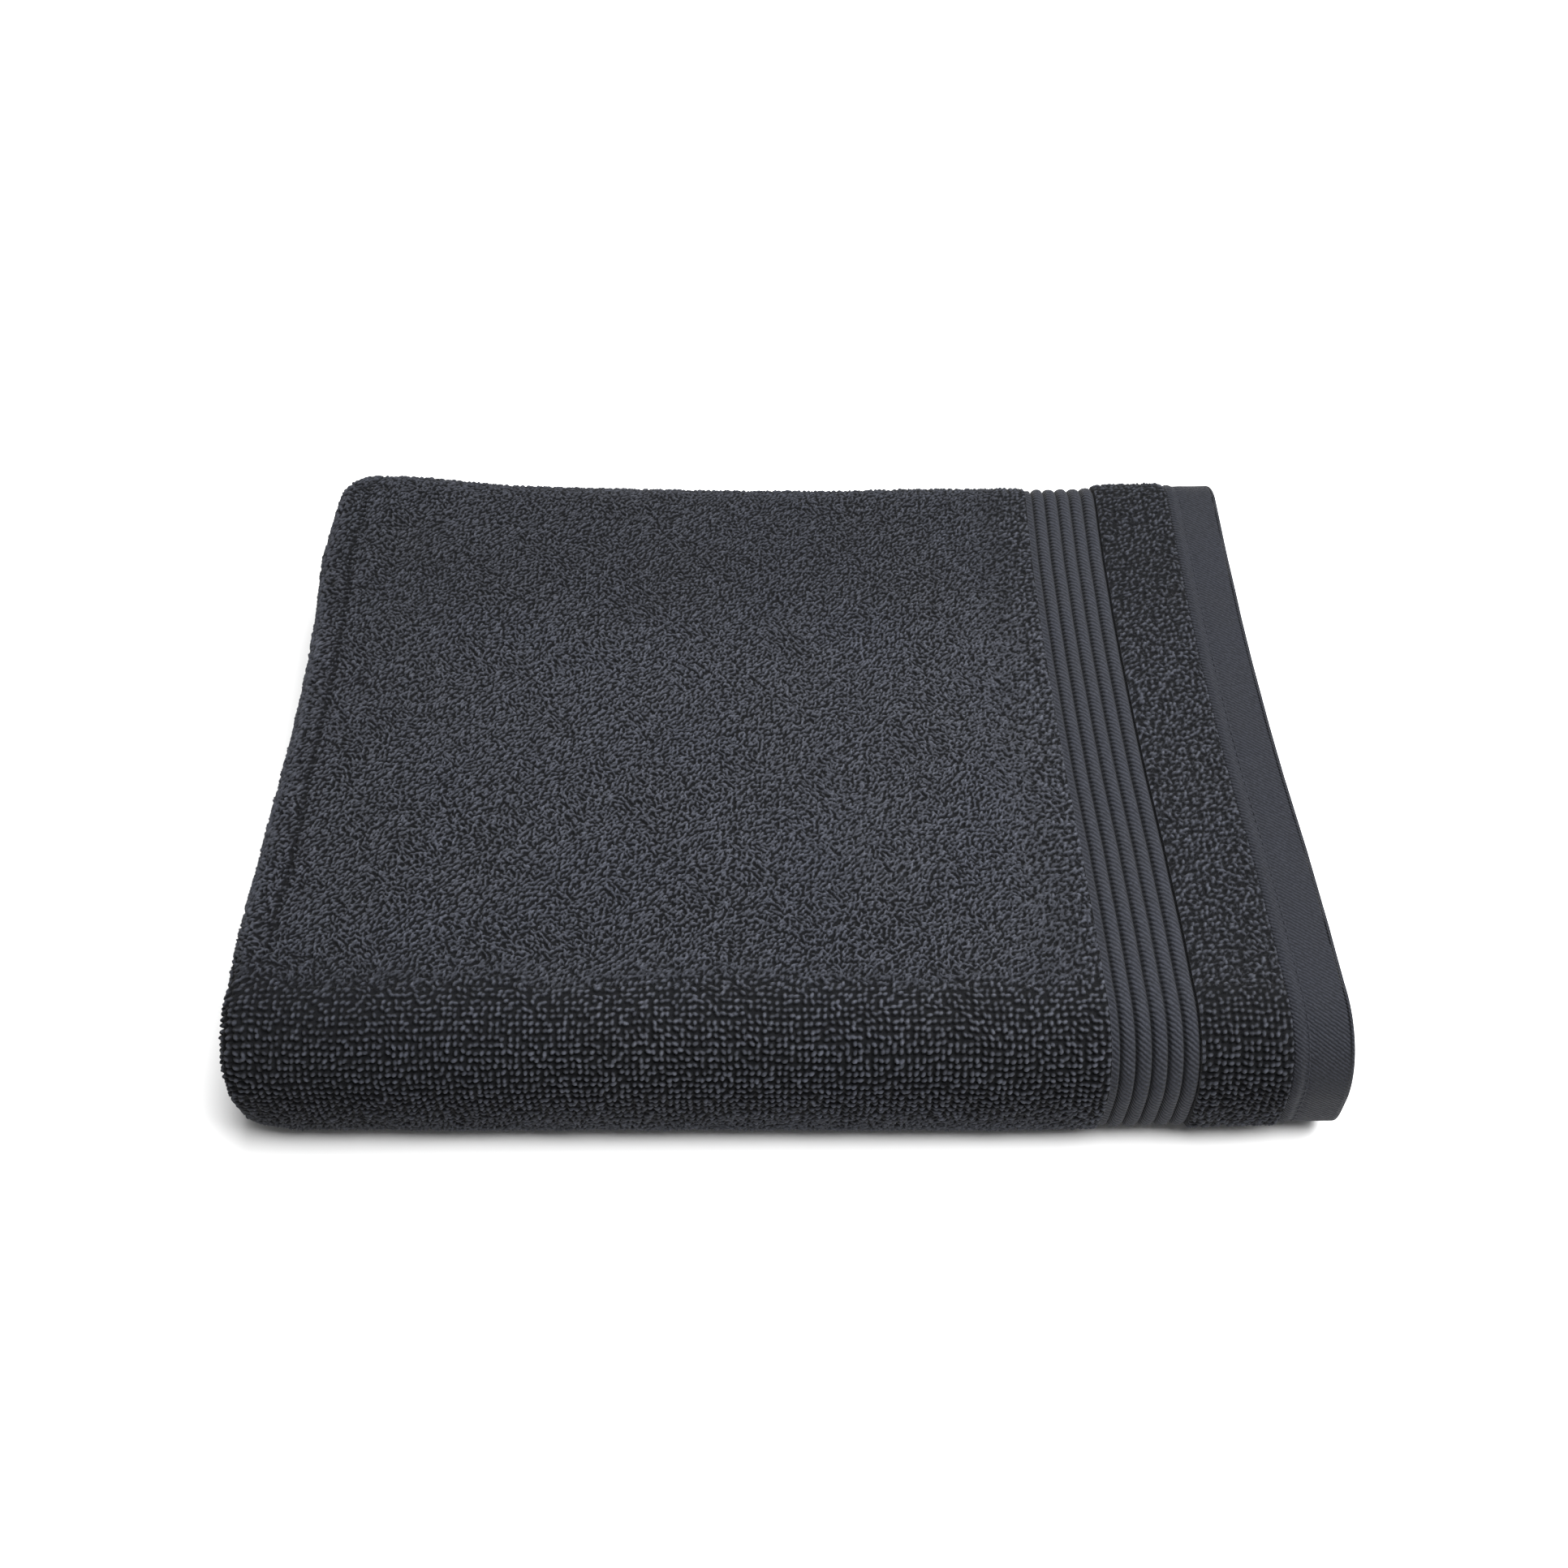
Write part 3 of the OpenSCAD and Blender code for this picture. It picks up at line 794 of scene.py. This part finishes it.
def side_stitches(region, v_row):
    """A long row of stitches on the outermost ply of a side hem."""
    count = int((U_PLY1 - HEM_W) / STITCH_PITCH)
    centres = [(HEM_W + (k + 0.5) * (U_PLY1 - HEM_W) / count, v_row) for k in range(count)]
    ob = stitch_rows(f"{region}_side_stitches", centres, 5, False, SIDE_HEM_HALF_T - 0.35 * MM, 0.3 * MM)
    return attach(ob, region, PLY_MID[0], "thread", f"{region}_side_thread")


def side_hem(region, v_low, v_high, from_edge, step):
    u = steps(0, CLOTH_L, step)
    near = EDGE_ROUND * (1 - np.cos(np.linspace(0, math.pi / 2, 6)))
    far = SIDE_HEM_W - np.array([0, 0.15, 0.35, 0.6]) * MM
    distances = np.unique(np.concatenate([near, steps(EDGE_ROUND, SIDE_HEM_W - 1 * MM, 0.7 * MM), far]))
    v = np.sort(v_low + distances if from_edge == "low" else v_high - distances)
    uu, vv = np.meshgrid(u, v, indexing="ij")
    distance = vv - v_low if from_edge == "low" else v_high - vv
    d, loop, tone = side_hem_face(uu, vv, distance)
    d = d * (0.25 + 0.75 * rounded(uu, EDGE_ROUND) * rounded(CLOTH_L - uu, EDGE_ROUND))
    ob = slab(f"{region}_side_hem_weave", u, v, d, -d, 1, {"loop": (loop, 0.9), "tone": (tone, 0.5)}, HEM)
    return attach(ob, region, PLY_MID[0], "hem", f"{region}_side_hem")


def region_pieces(region):
    """All the cloth of one region, in place of the frame's sheets it stands for."""
    step = FINE_STEP if region in FINE_REGIONS else MEDIUM_STEP
    outer, inner_b, inside_depth = PLY_MID[0], PLY_MID[1], (PLY_MID[1] + PLY_MID[2]) / 2
    strip_edge, dobby_edge = HEM_W, HEM_W + STRIP_W
    field = terry_piece(region, "field", BORDER_W, U_OUTER_TURN, step, outer, "field", (True, False))
    under_step = COVERED_STEP if region in COVERED_UNDERSIDES else MEDIUM_STEP
    under = terry_piece(region, "field_under", U_OUTER_TURN, U_RIGHT_TURN, under_step, PLY_MID[3], "field",
                        (False, False))
    inside = terry_piece(region, "field_inside", U_RIGHT_TURN, CLOTH_L - BORDER_W, COARSE_STEP, inside_depth,
                         "field", (False, True))
    strip_a = terry_piece(region, "strip_a", strip_edge, dobby_edge, step, outer, "strip_a",
                          (True, True), STRIP_RAISED, STRIP_STANDING)
    strip_b = terry_piece(region, "strip_b", CLOTH_L - dobby_edge, CLOTH_L - strip_edge, MEDIUM_STEP, inner_b,
                          "strip_b", (True, True), 0, STRIP_STANDING)
    dobby_a = woven_piece(region, "dobby_a", steps(dobby_edge, BORDER_W, 0.3 * MM), 0.45 * MM,
                          lambda u, v: dobby_face(u, v, u - dobby_edge), DOBBY, "dobby", outer)
    dobby_b_u = steps(CLOTH_L - BORDER_W, CLOTH_L - dobby_edge, 0.4 * MM)
    dobby_b = woven_piece(region, "dobby_b", dobby_b_u, 1.5 * MM,
                          lambda u, v: dobby_face(u, v, CLOTH_L - dobby_edge - u), DOBBY, "dobby", inner_b)
    hem_a = woven_piece(region, "end_hem_a", hem_steps(0.7 * MM), 0.6 * MM,
                        lambda u, v: hem_face(u, v, u), HEM, "hem", outer, 1, True)
    hem_b = woven_piece(region, "end_hem_b", CLOTH_L - hem_steps(0.9 * MM)[::-1], 1.0 * MM,
                        lambda u, v: hem_face(u, v, CLOTH_L - u), HEM, "hem", inner_b, 1, True)
    thread = hem_stitches(region)


def care_label():
    """A blank woven label: a strip folded at its free end, both ends caught in the side hem."""
    (x0, y0, z0), (x1, y1, z1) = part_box("care_label")
    z_mid = (z0 + z1) / 2
    root_y, tip_y = y1 + 2 * MM, y0
    gap, cloth_t = 0.35 * MM, 0.22 * MM
    path = [(root_y + (tip_y - root_y) * t, gap * smooth(np.array(t * 6))) for t in np.linspace(0, 0.97, 24)]
    path += [(path[-1][0] - gap * math.sin(a), gap * math.cos(a)) for a in np.linspace(0.3, math.pi - 0.3, 6)]
    path += [(y, -h) for y, h in path[23::-1]]
    path = np.array([(float(y), float(h)) for y, h in path])
    lean = np.gradient(path, axis=0)
    lean /= np.linalg.norm(lean, axis=1)[:, None]
    normal = np.stack([-lean[:, 1], lean[:, 0]], -1)
    xs = steps(x0, x1, 1.5 * MM)
    droop = -0.9 * MM * ((root_y - path[:, 0]) / (root_y - tip_y)) ** 2
    curl = 0.25 * MM * np.sin(np.linspace(0, math.pi, len(xs)))
    sheets = []
    for side in (-0.5, 0.5):
        moved = path + side * cloth_t * normal
        grid = np.stack(np.broadcast_arrays(xs[:, None], moved[None, :, 0],
                                            z_mid + moved[None, :, 1] + droop[None] + curl[:, None]), -1)
        sheets.append(grid)
    columns, rows = len(xs), len(path)
    points = np.concatenate([g.reshape(-1, 3) for g in sheets])
    points = np.stack(settle(points[:, 0], points[:, 1], points[:, 2]), -1)
    count = columns * rows
    grid = np.arange(count).reshape(columns, rows)
    rim = np.concatenate([grid[:, 0], grid[-1, 1:], grid[-2::-1, -1], grid[0, -2:0:-1]])
    after = np.roll(rim, -1)
    faces = [quads(columns, rows, 0, False), quads(columns, rows, count, True),
             np.stack([rim, after, after + count, rim + count], -1)]
    share_u, share_v = np.linspace(0.02, 0.98, columns), np.linspace(0.02, 0.46, rows)
    share = np.stack(np.meshgrid(share_u, share_v, indexing="ij"), -1).reshape(-1, 2)
    share = np.concatenate([share, share + (0, 0.5)])
    cloth = np.stack([points[:, 0], np.tile(np.arange(rows) * MM, 2 * columns)], -1)
    corners = np.concatenate([f.reshape(-1) for f in faces])
    attributes = {"loop": np.ones(len(points)), "tone": np.full(len(points), 0.5)}
    ob = build("care_label_woven", points, faces, attributes, cloth, share[corners], LABEL)
    attach(ob, "tucked", 0, "label", "care_label")


for region_name in REGIONS:
    region_pieces(region_name)
lower_hem = side_hem("lower", 0, SIDE_HEM_W, "low", 1.0 * MM)
tucked_hem = side_hem("tucked", CLOTH_W - SIDE_HEM_W, CLOTH_W, "high", 1.0 * MM)
lower_side = side_stitches("lower", SIDE_STITCH_INSET)
tucked_side = side_stitches("tucked", CLOTH_W - SIDE_STITCH_INSET)
care_label()

# ---------------------------------------------------------------- floor, light and camera

CAMERA_AT = (0, -0.348, 0.473)
CAMERA_PITCH = 52.4  # degrees below the horizon
CAMERA_LENS = 37.1
SENSOR = 36
FLOOR_SIZE = 8
WORLD_STRENGTH = 0.18
SOFTBOX_AT = (0.34, 0.0, 1.00)
SOFTBOX_SIZE = 1.0
SOFTBOX_POWER = 37


def make_floor():
    half = FLOOR_SIZE / 2
    mesh = bpy.data.meshes.new("floor")
    corners = [(-half, -half, 0), (half, -half, 0), (half, half, 0), (-half, half, 0)]
    mesh.from_pydata(corners, [], [(0, 1, 2, 3)])
    mesh.materials.append(floor_material())
    ob = bpy.data.objects.new("floor", mesh)
    bpy.context.collection.objects.link(ob)


def make_light():
    world = bpy.data.worlds.new("studio")
    bpy.context.scene.world = world
    world.use_nodes = True
    background = world.node_tree.nodes["Background"]
    background.inputs["Color"].default_value = (1, 1, 1, 1)
    background.inputs["Strength"].default_value = WORLD_STRENGTH
    data = bpy.data.lights.new("softbox", "AREA")
    data.shape = "SQUARE"
    data.size = SOFTBOX_SIZE
    data.energy = SOFTBOX_POWER
    ob = bpy.data.objects.new("softbox", data)
    ob.location = SOFTBOX_AT
    tip, lean = -math.atan2(SOFTBOX_AT[1], SOFTBOX_AT[2]), math.atan2(SOFTBOX_AT[0], SOFTBOX_AT[2])
    ob.rotation_euler = (tip, lean, 0)
    bpy.context.collection.objects.link(ob)


def make_camera():
    data = bpy.data.cameras.new("camera")
    data.sensor_width = SENSOR
    data.lens = CAMERA_LENS
    data.clip_start = 0.02
    ob = bpy.data.objects.new("camera", data)
    ob.location = CAMERA_AT
    ob.rotation_euler = (math.radians(90 - CAMERA_PITCH), 0, 0)
    bpy.context.collection.objects.link(ob)
    bpy.context.scene.camera = ob


make_floor()
make_light()
make_camera()
bpy.context.scene.view_settings.view_transform = "Standard"
